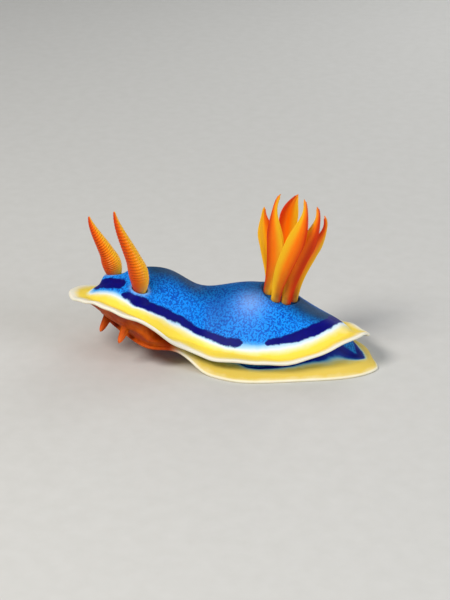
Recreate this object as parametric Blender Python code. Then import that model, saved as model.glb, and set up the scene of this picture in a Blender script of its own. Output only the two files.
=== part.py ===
"""A chromodorid sea slug, Chromodoris annae, life size, with its front third reared off the ground.

Metres, +Z up. The head faces -Y, the tail +Y, and the animal's left side is +X.
The origin is on the floor, under the middle of the sole where it rests.

The body is laid out along the sole's middle line: a station is the distance along that line from the
mantle's front edge, a side is the distance to the animal's left, and a height is measured from the sole.
posed() bends that straight body into the rearing, turned pose.
"""

import math

import bmesh
import bpy
import numpy as np
from mathutils import Vector

MM = 0.001

# Stations along the sole's middle line
MANTLE_REAR = 45.5 * MM
TAIL_TIP = 47.2 * MM
ORIGIN_STATION = 33.0 * MM

# Pose: turn to the animal's left and upward tilt, in degrees, at stations in millimetres
TURN_STATIONS = (0, 12, 24, 36, 50)
TURNS = (67, 34, 2, -7, -3)
TILT_STATIONS = (0, 5, 10, 15, 20.5)
TILTS = (16, 25, 32, 20, 0)
BEND_BLUR = 2 * MM
BEND_HEIGHT = 4 * MM

# Mantle: a loaf-shaped back inside a thin, wavy skirt
MANTLE_HALF_WIDTH = 11.1 * MM
FRONT_SQUARENESS = 0.74
REAR_SQUARENESS = 0.95
EDGE_HEIGHT = 3.0 * MM
EDGE_THICKNESS = 0.6 * MM
UNDER_RISE = 1.3 * MM
REAR_FLARE = 3.0 * MM
NECK_EDGE_RISE = 0.7 * MM
BACK_HEIGHT = 7.25 * MM
BACK_FRONT = 2.2 * MM
BACK_REAR = 43.0 * MM
BACK_HALF_WIDTH = 8.5 * MM
BACK_END_SHARPNESS = 5.0
WAVE_HEIGHT = 0.25 * MM
WAVES_AROUND = 7

# Lower body: front, rear and half width of each outline, from the mantle's joint down to the foot's edge
JOINT_LOOP = (4.8 * MM, 42.5 * MM, 6.6 * MM)
FLANK_LOOP = (5.0 * MM, 44.0 * MM, 7.4 * MM)
INSTEP_LOOP = (6.6 * MM, 45.6 * MM, 8.6 * MM)
FOOT_LOOP = (8.0 * MM, TAIL_TIP, 11.6 * MM)
FLANK_HEIGHT = 2.1 * MM
INSTEP_HEIGHT = 1.5 * MM
FOOT_EDGE_THICKNESS = 0.55 * MM
FLANK_FRONT_SQUARENESS = 0.5
FOOT_FRONT_SQUARENESS = 0.58
FOOT_REAR_SQUARENESS = 1.3
FOOT_NECK = 0.14
TAIL_SWEEP = 0.8 * MM
HEAD_SWEEP = 1.5 * MM
FRONT_SAG = 0.7 * MM
NECK_ARCH = 1.8 * MM

# Thin cuts that part the lower body, and how far it is first run up into the mantle
CUT = 0.3 * MM
JOINT_OVERLAP = 0.4 * MM
FOOT_TOP = 1.15 * MM
HEAD_REAR = 11.0 * MM
TAIL_FRONT = 41.0 * MM

# Head: a low snout with lips, over the foot's front edge
SNOUT_STATION = 7.0 * MM
SNOUT_HEIGHT = 1.2 * MM
SNOUT_RADII = (3.0 * MM, 5.4 * MM, 1.4 * MM)
LIP_RADII = (0.55 * MM, 1.0 * MM, 0.8 * MM)
MOUTH_WIDTH = 0.3 * MM
MOUTH_HEIGHT = 1.2 * MM
MOUTH_DEPTH = 0.45 * MM

ORAL_STATION = 5.8 * MM
ORAL_SIDE = 2.4 * MM
ORAL_LENGTH = 2.9 * MM
ORAL_RADIUS = 0.75 * MM

# Rhinophores: lamellate clubs that stand in raised sheaths
RHINOPHORE_STATION = 6.1 * MM
RHINOPHORE_SIDE = 3.45 * MM
RHINOPHORE_LENGTHS = {1: 13.1 * MM, -1: 9.6 * MM}
RHINOPHORE_RADIUS = 1.4 * MM
STALK_RADIUS = 0.95 * MM
STALK_SHARE = 0.2
LAMELLAE = 11
LAMELLA_DEPTH = 0.2 * MM
SHEATH_RADIUS = 1.75 * MM
SHEATH_HEIGHT = 0.35 * MM
SHEATH_MOUND = 0.45 * MM

# Gills: a ring of feather-like plumes in a pocket on the back
GILL_STATION = 31.8 * MM
GILL_RING_RADIUS = 1.95 * MM
POCKET_RADIUS = 2.8 * MM
POCKET_DEPTH = 0.45 * MM
POCKET_RIM = 0.12 * MM
PAPILLA_RADIUS = 0.5 * MM
PAPILLA_HEIGHT = 1.1 * MM
# Each plume: angle of its root round the ring, from ahead to the left, the angle its broad side faces,
# and how far the curve's belly, neck and tip stand behind the ring's middle and to the left of it,
# with the tip's height over it, in millimetres
PLUMES = (
    (36, 80, (1.7, 2.4), (-2.2, 2.1), (0.2, 1.2), 15.9),
    (86, 90, (1.6, 4.7), (5.8, 4.1), (4.3, 3.3), 16.3),
    (133, 104, (2.0, 2.9), (7.6, 3.2), (5.9, 2.2), 15.0),
    (180, 138, (2.1, 0.8), (8.3, 0.9), (6.4, -0.2), 12.8),
    (-129, -129, (3.2, -3.2), (4.4, -3.0), (4.6, -2.4), 10.2),
    (-76, -80, (-0.3, -4.0), (-0.7, -3.7), (1.6, -3.0), 14.6),
    (-22, -58, (-1.6, -1.7), (-3.8, -1.8), (-3.1, -1.6), 12.6),
)
BELLY_SHARE, NECK_SHARE = 0.48, 0.76
RACHIS_RADIUS = 0.6 * MM
LEAFLET_ROWS = 10
LEAFLET_LENGTH = 1.15 * MM
LEAFLET_HALF_HEIGHT = 0.6 * MM
LEAFLET_THICKNESS = 0.5 * MM


def ease(share):
    """0 below 0, 1 above 1, and a smooth step between."""
    share = min(max(share, 0.0), 1.0)
    return share * share * (3 - 2 * share)


def bump(station, centre, width):
    return math.exp(-(((station - centre) / width) ** 2))


def blurred(station, stations, angles):
    """An angle read from a few stations, with the corners between them rounded off."""
    near = [(station + step * BEND_BLUR) / MM for step in (-1, -0.5, 0, 0.5, 1)]
    return math.radians(sum(np.interp(near, stations, angles)) / 5)


def heading(station):
    """Turn of the body to the animal's left."""
    return blurred(station, TURN_STATIONS, TURNS)


def tilt(station):
    """Upward tilt of the body towards the head. It is 0 where the sole rests."""
    return blurred(station, TILT_STATIONS, TILTS)


def forward(station):
    turn, rise = heading(station), tilt(station)
    return Vector((math.sin(turn) * math.cos(rise), -math.cos(turn) * math.cos(rise), math.sin(rise)))


def leftward(station):
    return Vector((math.cos(heading(station)), math.sin(heading(station)), 0.0))


def upward(station):
    return forward(station).cross(leftward(station))


def middle_line():
    """Stations and points along the line the body bends about, summed up from the tail, which lies flat."""
    stations = np.arange(-4 * MM, TAIL_TIP + 4 * MM, 0.25 * MM)[::-1]
    points = [Vector((0, 0, BEND_HEIGHT))]
    for before, after in zip(stations[:-1], stations[1:]):
        points.append(points[-1] + forward((before + after) / 2) * (before - after))
    stations = stations[::-1]
    points = np.array([list(p) for p in points])[::-1]
    for axis in (0, 1):
        points[:, axis] -= np.interp(ORIGIN_STATION, stations, points[:, axis])
    return stations, points


LINE_STATIONS, LINE_POINTS = middle_line()


def posed(station, side, height):
    """A point of the straight body, bent into the pose."""
    on_line = Vector([np.interp(station, LINE_STATIONS, LINE_POINTS[:, axis]) for axis in range(3)])
    return on_line + leftward(station) * side + upward(station) * (height - BEND_HEIGHT)


def waist(station):
    """How the outlines narrow at the neck and widen at the gills, as a factor."""
    return 1 - 0.11 * bump(station, 18 * MM, 6 * MM) + 0.05 * bump(station, 31 * MM, 7 * MM)


def rounded(angle, front_squareness, rear_squareness):
    """A unit superellipse. Angle 0 is its front and a quarter turn its left side."""
    along, across = math.cos(angle), math.sin(angle)
    squareness = front_squareness if along > 0 else rear_squareness
    return (
        math.copysign(abs(along) ** squareness, along),
        math.copysign(abs(across) ** squareness, across),
    )


def loop_point(loop, angle, reach=1.0, squareness=(FRONT_SQUARENESS, REAR_SQUARENESS)):
    """(station, side) on a loop of given front, rear and half width, or a share of the way out to it."""
    front, rear, half_width = loop
    along, across = rounded(angle, *squareness)
    station = (front + rear) / 2 - (rear - front) / 2 * along * reach
    return station, half_width * waist(station) * across * reach


def mantle_point(angle, reach=1.0):
    return loop_point((0.0, MANTLE_REAR, MANTLE_HALF_WIDTH), angle, reach)


def sweep(station):
    """How far the head reaches to the animal's left under the mantle, and the tail behind it."""
    ahead = HEAD_SWEEP * ease((14 * MM - station) / (6 * MM))
    return ahead + TAIL_SWEEP * ease((station - 38 * MM) / (9 * MM))


def lower_point(loop, angle, reach=1.0):
    """(station, side) on a loop of the flanks, which follow the head's reach to the left."""
    station, side = loop_point(loop, angle, reach, (FLANK_FRONT_SQUARENESS, REAR_SQUARENESS))
    return station, side + HEAD_SWEEP * ease((14 * MM - station) / (6 * MM))


def foot_point(angle, reach=1.0):
    """(station, side) inside the foot's edge, narrowed at the neck."""
    squareness = (FOOT_FRONT_SQUARENESS, FOOT_REAR_SQUARENESS)
    station, side = loop_point(FOOT_LOOP, angle, reach, squareness)
    side *= 1 - FOOT_NECK * bump(station, 14.5 * MM, 5 * MM)
    return station, side + TAIL_SWEEP * ease((station - 38 * MM) / (9 * MM))


def sag(station):
    """How far the foot's free front hangs down, before it arches up to the resting sole."""
    droop = NECK_ARCH * bump(station, 15.5 * MM, 4.5 * MM) - FRONT_SAG * bump(station, 8 * MM, 3 * MM)
    return droop * ease((24 * MM - station) / (6 * MM))


def reach_of(station, side):
    """Share of the way from the mantle's middle to its edge."""
    along = 1 - 2 * station / MANTLE_REAR
    across = abs(side) / (MANTLE_HALF_WIDTH * waist(station))
    power = 2 / (FRONT_SQUARENESS if along > 0 else REAR_SQUARENESS)
    return min((abs(along) ** power + across**power) ** (1 / power), 1.0)


def skirt_height(station, side):
    """Height of the mantle's upper face as it would be with no back on it."""
    reach = reach_of(station, side)
    angle = math.atan2(side / MANTLE_HALF_WIDTH, 1 - 2 * station / MANTLE_REAR)
    wave = WAVE_HEIGHT * math.sin(WAVES_AROUND * angle + 0.8) * reach**4
    left_share = 0.1 + 0.9 * ease((side + 6 * MM) / (8 * MM))
    flare = REAR_FLARE * left_share * ease((station - 34 * MM) / (12 * MM))
    arch = NECK_EDGE_RISE * bump(station, 17 * MM, 4 * MM)
    return EDGE_HEIGHT + wave + flare + arch


def hump(station):
    """The back's own rise and fall: high behind the rhinophores, low at the neck, high before the gills."""
    return (
        1
        + 0.09 * bump(station, 3 * MM, 5 * MM)
        + 0.14 * bump(station, 10 * MM, 5 * MM)
        - 0.19 * bump(station, 19 * MM, 5 * MM)
        + 0.08 * bump(station, 29 * MM, 6 * MM)
        - 0.27 * bump(station, 38 * MM, 5 * MM)
    )


def mounds(station, side):
    """The low swellings that carry the rhinophore sheaths."""
    from_sheath = math.hypot(station - RHINOPHORE_STATION, abs(side) - RHINOPHORE_SIDE)
    return SHEATH_MOUND * math.exp(-((from_sheath / (1.5 * SHEATH_RADIUS)) ** 2))


def back_height(station, side):
    """Height of the mantle's upper face over the sole."""
    middle, half = (BACK_FRONT + BACK_REAR) / 2, (BACK_REAR - BACK_FRONT) / 2
    along = abs(station - middle) / half
    across = abs(side) / (BACK_HALF_WIDTH * waist(station))
    inside = max(1 - along**BACK_END_SHARPNESS - across**2, 0.0)
    arch = BACK_HEIGHT * hump(station) * inside**1.3
    return skirt_height(station, side) + arch + mounds(station, side)


def under_height(station, side):
    """Height of the mantle's lower face over the sole: the skirt overhangs the flanks."""
    inward = ease((0.80 - reach_of(station, side)) / 0.32)
    return skirt_height(station, side) - EDGE_THICKNESS + UNDER_RISE * inward


def material(name, colour, roughness):
    """A Principled BSDF of one linear colour."""
    made = bpy.data.materials.new(name)
    made.use_nodes = True
    shader = made.node_tree.nodes["Principled BSDF"]
    shader.inputs["Base Color"].default_value = (*colour, 1)
    shader.inputs["Roughness"].default_value = roughness
    shader.inputs["Metallic"].default_value = 0.0
    made.diffuse_color = (*colour, 1)
    return made


def finished(name, bm, collection, finish=None):
    """A bmesh turned into a smooth-shaded object of flat triangles, which Booleans cut cleanly."""
    mesh = bpy.data.meshes.new(name)
    bmesh.ops.triangulate(bm, faces=bm.faces)
    bmesh.ops.recalc_face_normals(bm, faces=bm.faces)
    if bm.calc_volume(signed=True) < 0:
        bmesh.ops.reverse_faces(bm, faces=bm.faces)
    bm.to_mesh(mesh)
    bm.free()
    mesh.shade_smooth()
    mesh.set_sharp_from_angle(angle=math.radians(50))
    if finish:
        mesh.materials.append(finish)
    made = bpy.data.objects.new(name, mesh)
    collection.objects.link(made)
    return made


def moulded(name, around, rings, place, collection, finish=None):
    """A closed form: a sphere whose vertices each move to place(ring, angle), ring 0 and the last one its poles."""
    bm = bmesh.new()
    bmesh.ops.create_uvsphere(bm, u_segments=around, v_segments=rings, radius=1.0)
    for vertex in bm.verts:
        share = math.acos(max(-1.0, min(1.0, vertex.co.z))) / math.pi
        angle = math.atan2(vertex.co.y, vertex.co.x)
        vertex.co = place(round(share * rings), angle)
    return finished(name, bm, collection, finish)


def combined(whole, others, operation, solver="EXACT"):
    """The others joined to, cut from or kept of the whole, by one Boolean, and then removed."""
    group = bpy.data.collections.new(f"{whole.name}_pieces")
    for other in others:
        group.objects.link(other)
    modifier = whole.modifiers.new(operation.lower(), "BOOLEAN")
    modifier.operation = operation
    modifier.operand_type = "COLLECTION"
    modifier.collection = group
    modifier.solver = solver
    graph = bpy.context.evaluated_depsgraph_get()
    mesh = bpy.data.meshes.new_from_object(whole.evaluated_get(graph))
    whole.modifiers.clear()
    whole.data = mesh
    for other in others:
        bpy.data.objects.remove(other)
    bpy.data.collections.remove(group)
    return whole


def only_largest(whole):
    """A node's largest closed surface, with loose scraps, folded flaps and sealed hollows dropped."""
    bm = bmesh.new()
    bm.from_mesh(whole.data)
    waiting = set(bm.faces)
    shells = []
    while waiting:
        shell, edge_of_shell = set(), [waiting.pop()]
        while edge_of_shell:
            face = edge_of_shell.pop()
            shell.add(face)
            seams = [edge for edge in face.edges if len(edge.link_faces) == 2]
            for near in (other for edge in seams for other in edge.link_faces):
                if near in waiting:
                    waiting.remove(near)
                    edge_of_shell.append(near)
        shells.append(shell)
    shells.sort(key=len)
    scraps = [face for shell in shells[:-1] for face in shell]
    bmesh.ops.delete(bm, geom=scraps, context="FACES")
    bm.to_mesh(whole.data)
    bm.free()
    return whole


def side_axes(direction, towards):
    """Two unit vectors across a direction, the first as near as it gets to another vector."""
    first = (towards - direction * towards.dot(direction)).normalized()
    return first, direction.cross(first).normalized()


def frustum(name, base, direction, root_radius, top_radius, length, around, collection):
    """A round, slightly tapered block whose axis starts at base and runs along direction."""
    bm = bmesh.new()
    bmesh.ops.create_cone(
        bm, cap_ends=True, segments=around, radius1=root_radius, radius2=top_radius, depth=length
    )
    turn = direction.to_track_quat("Z", "Y")
    for vertex in bm.verts:
        vertex.co = base + turn @ (vertex.co + Vector((0, 0, length / 2)))
    return finished(name, bm, collection)


def surface_normal(station, side):
    """Unit normal of the back, in the pose."""
    step = 0.2 * MM
    here = posed(station, side, back_height(station, side))
    ahead = posed(station - step, side, back_height(station - step, side))
    left = posed(station, side + step, back_height(station, side + step))
    return (ahead - here).cross(left - here).normalized()


def mantle_form(name, clearance, collection, finish=None):
    """The back and its skirt as one closed form, its lower face lowered by a clearance."""
    top_rings, under_rings = 14, 6
    edge_reach = 0.985

    def place(ring, angle):
        if ring <= top_rings:
            reach, drop = edge_reach * (ring / top_rings) ** 0.85, 0.0
        elif ring == top_rings + 1:
            reach, drop = 1.0, 0.5
        else:
            reach, drop = edge_reach * (1 - (ring - top_rings - 2) / under_rings), 1.0
        station, side = mantle_point(angle, reach)
        upper, lower = back_height(station, side), under_height(station, side) - clearance
        return posed(station, side, upper + (lower - upper) * drop)

    return moulded(name, 56, top_rings + 2 + under_rings, place, collection, finish)


def make_mantle(collection, finish):
    """The mantle, with rhinophore sheaths, a gill pocket and the anal papilla raised on it."""
    mantle = mantle_form("mantle", 0.0, collection, finish)
    collars, pits = [], []
    for sign in (1, -1):
        base, axis = rhinophore_root(sign)
        collars.append(
            frustum("collar", base - axis * 1.2 * MM, axis, SHEATH_RADIUS + 0.3 * MM, SHEATH_RADIUS - 0.25 * MM,
                    1.2 * MM + SHEATH_HEIGHT, 20, collection)
        )
        pits.append(
            frustum("pit", base, axis, SHEATH_RADIUS - 0.6 * MM, SHEATH_RADIUS - 0.5 * MM,
                    SHEATH_HEIGHT * 2, 20, collection)
        )
    collars.append(
        disc_on_back("collar", POCKET_RADIUS + 0.8 * MM, -1 * MM, POCKET_RADIUS + 0.25 * MM, POCKET_RIM, collection)
    )
    pits.append(disc_on_back("pit", POCKET_RADIUS - 0.1 * MM, -POCKET_DEPTH, POCKET_RADIUS, 1 * MM, collection))
    combined(mantle, collars, "UNION")
    combined(mantle, pits, "DIFFERENCE")
    base, axis = gill_floor(0.0, 0.0)
    papilla = frustum("papilla", base - axis * 0.5 * MM, axis, PAPILLA_RADIUS, PAPILLA_RADIUS / 2,
                      PAPILLA_HEIGHT + 0.5 * MM, 10, collection)
    combined(mantle, [papilla], "UNION")
    return only_largest(mantle)


def rhinophore_root(sign):
    """Centre of a rhinophore's socket floor, and the sheath's axis. Sign 1 is the animal's left."""
    side = sign * RHINOPHORE_SIDE
    normal = surface_normal(RHINOPHORE_STATION, side)
    axis = (normal * 0.5 + upward(RHINOPHORE_STATION) * 0.5).normalized()
    top = posed(RHINOPHORE_STATION, side, back_height(RHINOPHORE_STATION, side))
    return top - axis * 0.1 * MM, axis


def gill_floor(radius, angle):
    """A point of the gill pocket's floor, at a radius and an angle from ahead to the left, and the back's normal."""
    station, side = GILL_STATION - radius * math.cos(angle), radius * math.sin(angle)
    floor = posed(station, side, back_height(station, side) - POCKET_DEPTH)
    return floor, surface_normal(station, side)


def disc_on_back(name, low_radius, low, high_radius, high, collection):
    """A round form over the gills' middle, whose two faces follow the back at two heights over it."""

    def place(ring, angle):
        reach, height = (ring * high_radius, high) if ring <= 3 else ((7 - ring) * low_radius, low)
        station, side = GILL_STATION - reach / 3 * math.cos(angle), reach / 3 * math.sin(angle)
        return posed(station, side, back_height(station, side) + height)

    return moulded(name, 28, 7, place, collection)


def make_lower_body(collection):
    """The flanks and foot as one closed form, before it is parted."""
    cap, wall, slope, sole = 3, 3, 4, 5
    rings = cap + wall + 1 + slope + 1 + sole

    def between(first, second, share):
        return [a + (b - a) * share for a, b in zip(first, second)]

    def place(ring, angle):
        joint = lower_point(JOINT_LOOP, angle)
        joint = (*joint, under_height(*joint) + JOINT_OVERLAP)
        flank = (*lower_point(FLANK_LOOP, angle), FLANK_HEIGHT)
        instep = (*lower_point(INSTEP_LOOP, angle), INSTEP_HEIGHT)
        edge = (*foot_point(angle, 0.985), FOOT_EDGE_THICKNESS)
        flank = (*flank[:2], flank[2] + sag(flank[0]) * 0.8)
        instep = (*instep[:2], instep[2] + sag(instep[0]))
        edge = (*edge[:2], edge[2] + sag(edge[0]))
        if ring <= cap:
            station, side = lower_point(JOINT_LOOP, angle, ring / cap)
            return posed(station, side, under_height(station, side) + JOINT_OVERLAP)
        if ring <= cap + wall:
            return posed(*between(joint, flank, (ring - cap) / wall))
        if ring == cap + wall + 1:
            return posed(*instep)
        if ring <= cap + wall + 1 + slope:
            share = (ring - cap - wall - 1) / slope
            return posed(*between(instep, edge, share))
        if ring == cap + wall + slope + 2:
            station, side = foot_point(angle)
            return posed(station, side, FOOT_EDGE_THICKNESS / 2 + sag(station))
        station, side = foot_point(angle, 0.985 * (1 - (ring - cap - wall - slope - 3) / (sole - 1)))
        return posed(station, side, sag(station))

    return moulded("lower_body", 52, rings, place, collection)


def region(front, rear, floor, ceiling, collection, lower_ahead=0.0):
    """A slab of the straight body's space, bent into the pose, that a Boolean keeps."""
    bm = bmesh.new()
    steps = max(2, round((rear - front) / ((0.8 if lower_ahead else 1.5) * MM)))
    bmesh.ops.create_grid(bm, x_segments=steps, y_segments=2, size=1.0)
    lower = bm.faces[:]
    raised = bmesh.ops.extrude_face_region(bm, geom=lower)["geom"]
    tops = {item for item in raised if isinstance(item, bmesh.types.BMVert)}
    for vertex in bm.verts:
        station = front + (rear - front) * (vertex.co.x + 1) / 2
        height = ceiling if vertex in tops else floor - lower_ahead * ease((7 * MM - station) / (1 * MM))
        vertex.co = posed(station, vertex.co.y * 14 * MM, height + sag(station))
    return finished("region", bm, collection)


def part_lower_body(collection, cutters, finishes):
    """The lower body parted by thin cuts into head, flanks, foot and tail."""
    ends = (-3.5 * MM, TAIL_TIP + 3.5 * MM)
    top, bottom = 8 * MM, -2 * MM
    spans = {
        "head": (ends[0], HEAD_REAR - CUT / 2, FOOT_TOP + CUT / 2, top),
        "body": (HEAD_REAR + CUT / 2, TAIL_FRONT - CUT / 2, FOOT_TOP + CUT / 2, top),
        "foot": (ends[0], TAIL_FRONT - CUT / 2, bottom, FOOT_TOP - CUT / 2),
        "tail": (TAIL_FRONT + CUT / 2, ends[1], bottom, top),
    }
    made = {}
    for name, span in spans.items():
        piece = make_lower_body(collection)
        piece.name = piece.data.name = name
        if name == "head":
            combined(piece, make_snout(collection), "UNION", "MANIFOLD")
        ahead_of_foot = 1.8 * MM if name == "head" else 0.0
        combined(piece, [region(*span, cutters, ahead_of_foot)], "INTERSECT", "MANIFOLD")
        cuts = [mantle_form("mantle_clearance", CUT, collection)]
        if name == "head":
            cuts.append(make_mouth(collection))
        combined(piece, cuts, "DIFFERENCE", "MANIFOLD")
        only_largest(piece)
        piece.data.materials.clear()
        piece.data.materials.append(finishes[name])
        made[name] = piece
    return made


def ellipsoid(name, station, height, radii, collection):
    """A ball on the middle line, stretched along, across and upwards."""
    along, across, high = radii

    def place(ring, angle):
        polar = math.pi * ring / 8
        ahead = along * math.sin(polar) * math.cos(angle)
        side = across * math.sin(polar) * math.sin(angle)
        return posed(station - ahead, side + sweep(station), height + high * math.cos(polar))

    return moulded(name, 16, 8, place, collection)


def make_snout(collection):
    """The head's rounded front and the swollen lips on it."""
    lips = SNOUT_STATION - SNOUT_RADII[0]
    return [
        ellipsoid("snout", SNOUT_STATION, SNOUT_HEIGHT, SNOUT_RADII, collection),
        ellipsoid("lips", lips, SNOUT_HEIGHT - 0.15 * MM, LIP_RADII, collection),
    ]


def make_mouth(collection):
    """The slit between the lips."""
    front = SNOUT_STATION - SNOUT_RADII[0] - LIP_RADII[0]
    bm = bmesh.new()
    bmesh.ops.create_cube(bm, size=1.0)
    for vertex in bm.verts:
        station = front + MOUTH_DEPTH if vertex.co.x > 0 else front - 1 * MM
        height = SNOUT_HEIGHT - 0.15 * MM + vertex.co.z * MOUTH_HEIGHT
        vertex.co = posed(station, vertex.co.y * MOUTH_WIDTH + HEAD_SWEEP, height)
    return finished("mouth", bm, collection)


def tapered(name, points, radii, towards, around, collection, finish=None):
    """A closed, bent cone: points along its axis, the radius at each, and a vector across it."""

    def place(ring, angle):
        ahead = points[min(ring + 1, len(points) - 1)] - points[max(ring - 1, 0)]
        first, second = side_axes(ahead.normalized(), towards)
        return points[ring] + (first * math.cos(angle) + second * math.sin(angle)) * radii[ring]

    return moulded(name, around, len(points) - 1, place, collection, finish)


def bent_axis(base, controls, count):
    """Points along a smooth curve from base through control offsets, by De Casteljau's rule."""
    corners = [base] + [base + offset for offset in controls]
    made = []
    for step in range(count + 1):
        share = step / count
        row = corners
        while len(row) > 1:
            row = [a.lerp(b, share) for a, b in zip(row[:-1], row[1:])]
        made.append(row[0])
    return made


def make_oral_tentacle(sign, name, collection, finish):
    """A short finger beside the mouth, hanging forwards and down from the snout, with a thin gap at its root."""
    ahead, side, up = forward(ORAL_STATION), leftward(ORAL_STATION) * sign, upward(ORAL_STATION)
    root = posed(ORAL_STATION, sign * ORAL_SIDE + HEAD_SWEEP, SNOUT_HEIGHT)
    way = (side * 0.05 - up).normalized()
    axis = bent_axis(root, [way * ORAL_LENGTH * 0.6, way * ORAL_LENGTH + ahead * ORAL_LENGTH * 0.10], 6)
    points = [axis[0]] + axis + [axis[-1] + (axis[-1] - axis[-2]) * 0.4]
    radii = [0.0] + [ORAL_RADIUS * (1 - 0.6 * step / 6) for step in range(7)] + [0.0]
    finger = tapered(name, points, radii, side, 12, collection, finish)
    grown = [radius + CUT for radius in SNOUT_RADII]
    snout = ellipsoid("snout", SNOUT_STATION, SNOUT_HEIGHT, grown, collection)
    combined(finger, [snout], "DIFFERENCE")
    return only_largest(finger)


def make_rhinophore(sign, name, collection, finish):
    """A stalk and a tapering club with raised lamellae, bent forwards and a little outwards."""
    floor, axis = rhinophore_root(sign)
    base = floor + axis * CUT
    ahead, side = forward(RHINOPHORE_STATION), leftward(RHINOPHORE_STATION) * sign
    length = RHINOPHORE_LENGTHS[sign]
    controls = [
        axis * length * 0.20 + side * length * 0.01,
        Vector((0, 0, length * 0.44)) + ahead * length * 0.06 + side * length * 0.03,
        Vector((0, 0, length * 0.62)) + ahead * length * 0.36 + side * length * 0.10,
        Vector((0, 0, length * 0.88)) + ahead * length * 0.40 + side * length * 0.11,
    ]
    steps = 6 + 2 * LAMELLAE
    line = bent_axis(base, controls, steps)
    points, radii = [line[0]], [0.0]
    for step, point in enumerate(line[:-1]):
        share = step / steps
        radius = club_radius(share)
        if share > STALK_SHARE and step % 2:
            radius -= LAMELLA_DEPTH * min(1.0, radius / (0.8 * MM))
        points.append(point)
        radii.append(radius)
    points.append(line[-1])
    radii.append(0.0)
    return tapered(name, points, radii, side, 14, collection, finish)


def club_radius(share):
    """The rhinophore's radius along its length."""
    if share < STALK_SHARE:
        return STALK_RADIUS + (RHINOPHORE_RADIUS - STALK_RADIUS) * ease(share / STALK_SHARE) * 0.9
    along = (share - STALK_SHARE) / (1 - STALK_SHARE)
    swell = 0.9 + 0.1 * math.sin(math.pi * min(along / 0.3, 1.0))
    return RHINOPHORE_RADIUS * swell * (1 - along**1.35) ** 0.85 + 0.12 * MM


def plume_axis(index, steps=10):
    """Points along one gill plume, which leans out, sways back and points up, and the way it faces."""
    degrees, facing_degrees, belly, neck, tip, above = PLUMES[index]
    ahead, leftwards = forward(GILL_STATION), leftward(GILL_STATION)
    angle, facing = math.radians(degrees), math.radians(facing_degrees)
    floor, up = gill_floor(GILL_RING_RADIUS, angle)
    base = floor + up * CUT
    middle = gill_floor(0.0, 0.0)[0]
    rise = Vector((0, 0, above * MM))
    controls = [up * above * MM * 0.12 + rise * 0.10]
    for (behind, left), height in ((belly, BELLY_SHARE), (neck, NECK_SHARE), (tip, 1.0)):
        controls.append(middle - base + (leftwards * left - ahead * behind) * MM + rise * height)
    return bent_axis(base, controls, steps), ahead * math.cos(facing) + leftwards * math.sin(facing)


def plume_width(share):
    """A plume's width as a share of its widest: narrow at the root, pointed at the tip."""
    return (0.55 + 0.45 * ease(share / 0.5)) * (1 - share**3.2)


def room_beside(index, point):
    """Half the free space between a point on one plume and the nearest other plume."""
    others = [plume_axis(other, 30)[0] for other in range(len(PLUMES)) if other != index]
    return min((point - near).length for line in others for near in line) / 2


def make_plume(index, collection, finish):
    """A gill: a flattened, tapering stem with a row of leaflets along each edge."""
    line, out = plume_axis(index)
    last = len(line) - 1

    def radius_at(share):
        return RACHIS_RADIUS * (1 - 0.6 * share)

    def frame(share):
        at = share * last
        low = min(int(at), last - 1)
        point = line[low].lerp(line[low + 1], at - low)
        along = (line[low + 1] - line[low]).normalized()
        across = along.cross(out).normalized()
        return point, along, across, across.cross(along).normalized()

    points = [line[0]] + line + [line[-1] + (line[-1] - line[-2]) * 0.3]

    def place(ring, angle):
        share = min(max(ring - 1, 0) / last, 1.0)
        _, _, across, outward = frame(share)
        if ring in (0, len(points) - 1):
            return points[ring]
        radius = radius_at(share)
        return points[ring] + across * radius * math.cos(angle) + outward * radius * 0.85 * math.sin(angle)

    name = f"gill_plume_{index + 1}"
    stem = moulded(name, 8, len(points) - 1, place, collection, finish)
    leaflets = []
    for row in range(LEAFLET_ROWS):
        share = 0.15 + 0.77 * row / (LEAFLET_ROWS - 1)
        point, along, across, outward = frame(share)
        for sign in (1, -1):
            reach = min(LEAFLET_LENGTH * plume_width(share) + radius_at(share), room_beside(index, point) - CUT / 2)
            way = (across * sign * 0.85 + along * 0.45 + outward * 0.20).normalized()
            start = point + across * sign * radius_at(share) * 0.35
            broad = LEAFLET_HALF_HEIGHT * (0.5 + 0.5 * plume_width(share))
            leaflets.append(leaflet(start, start + way * reach, outward, broad, collection))
    combined(stem, leaflets, "UNION", "MANIFOLD")
    return only_largest(stem)


def leaflet(root, tip, thin, broad, collection):
    """A flat vane that tapers from root to tip, thin in one direction and broad across it."""
    way = tip - root
    thin = (thin - way * (thin.dot(way) / way.length_squared)).normalized()
    wide = way.cross(thin).normalized()

    def place(ring, angle):
        share = (0.0, 0.15, 0.75, 1.0)[ring]
        swell = (0.0, 1.0, 0.7, 0.0)[ring]
        half = LEAFLET_THICKNESS / 2 * (1.0 if ring == 1 else 0.85)
        across = wide * broad * swell * math.cos(angle)
        return root + way * share + across + thin * half * min(swell * 2, 1.0) * math.sin(angle)

    return moulded("leaflet", 5, 3, place, collection)


def main():
    for old in list(bpy.data.objects):
        bpy.data.objects.remove(old)
    slug = bpy.data.collections.new("chromodoris_annae")
    cutters = bpy.data.collections.new("cutters")
    for collection in (slug, cutters):
        bpy.context.scene.collection.children.link(collection)
    cutters.hide_render = True

    blue = material("blue mantle skin", (0.01, 0.19, 0.75), 0.35)
    cream = material("cream foot skin", (0.78, 0.60, 0.20), 0.40)
    rust = material("rust head skin", (0.46, 0.08, 0.01), 0.40)
    orange = material("orange gill skin", (1.0, 0.20, 0.01), 0.35)

    make_mantle(slug, blue)
    part_lower_body(slug, cutters, {"head": rust, "body": blue, "foot": cream, "tail": blue})
    for sign, side in ((1, "left"), (-1, "right")):
        make_oral_tentacle(sign, f"oral_tentacle_{side}", slug, rust)
        make_rhinophore(sign, f"rhinophore_{side}", slug, orange)
    for index in range(len(PLUMES)):
        make_plume(index, slug, orange)


main()
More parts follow.
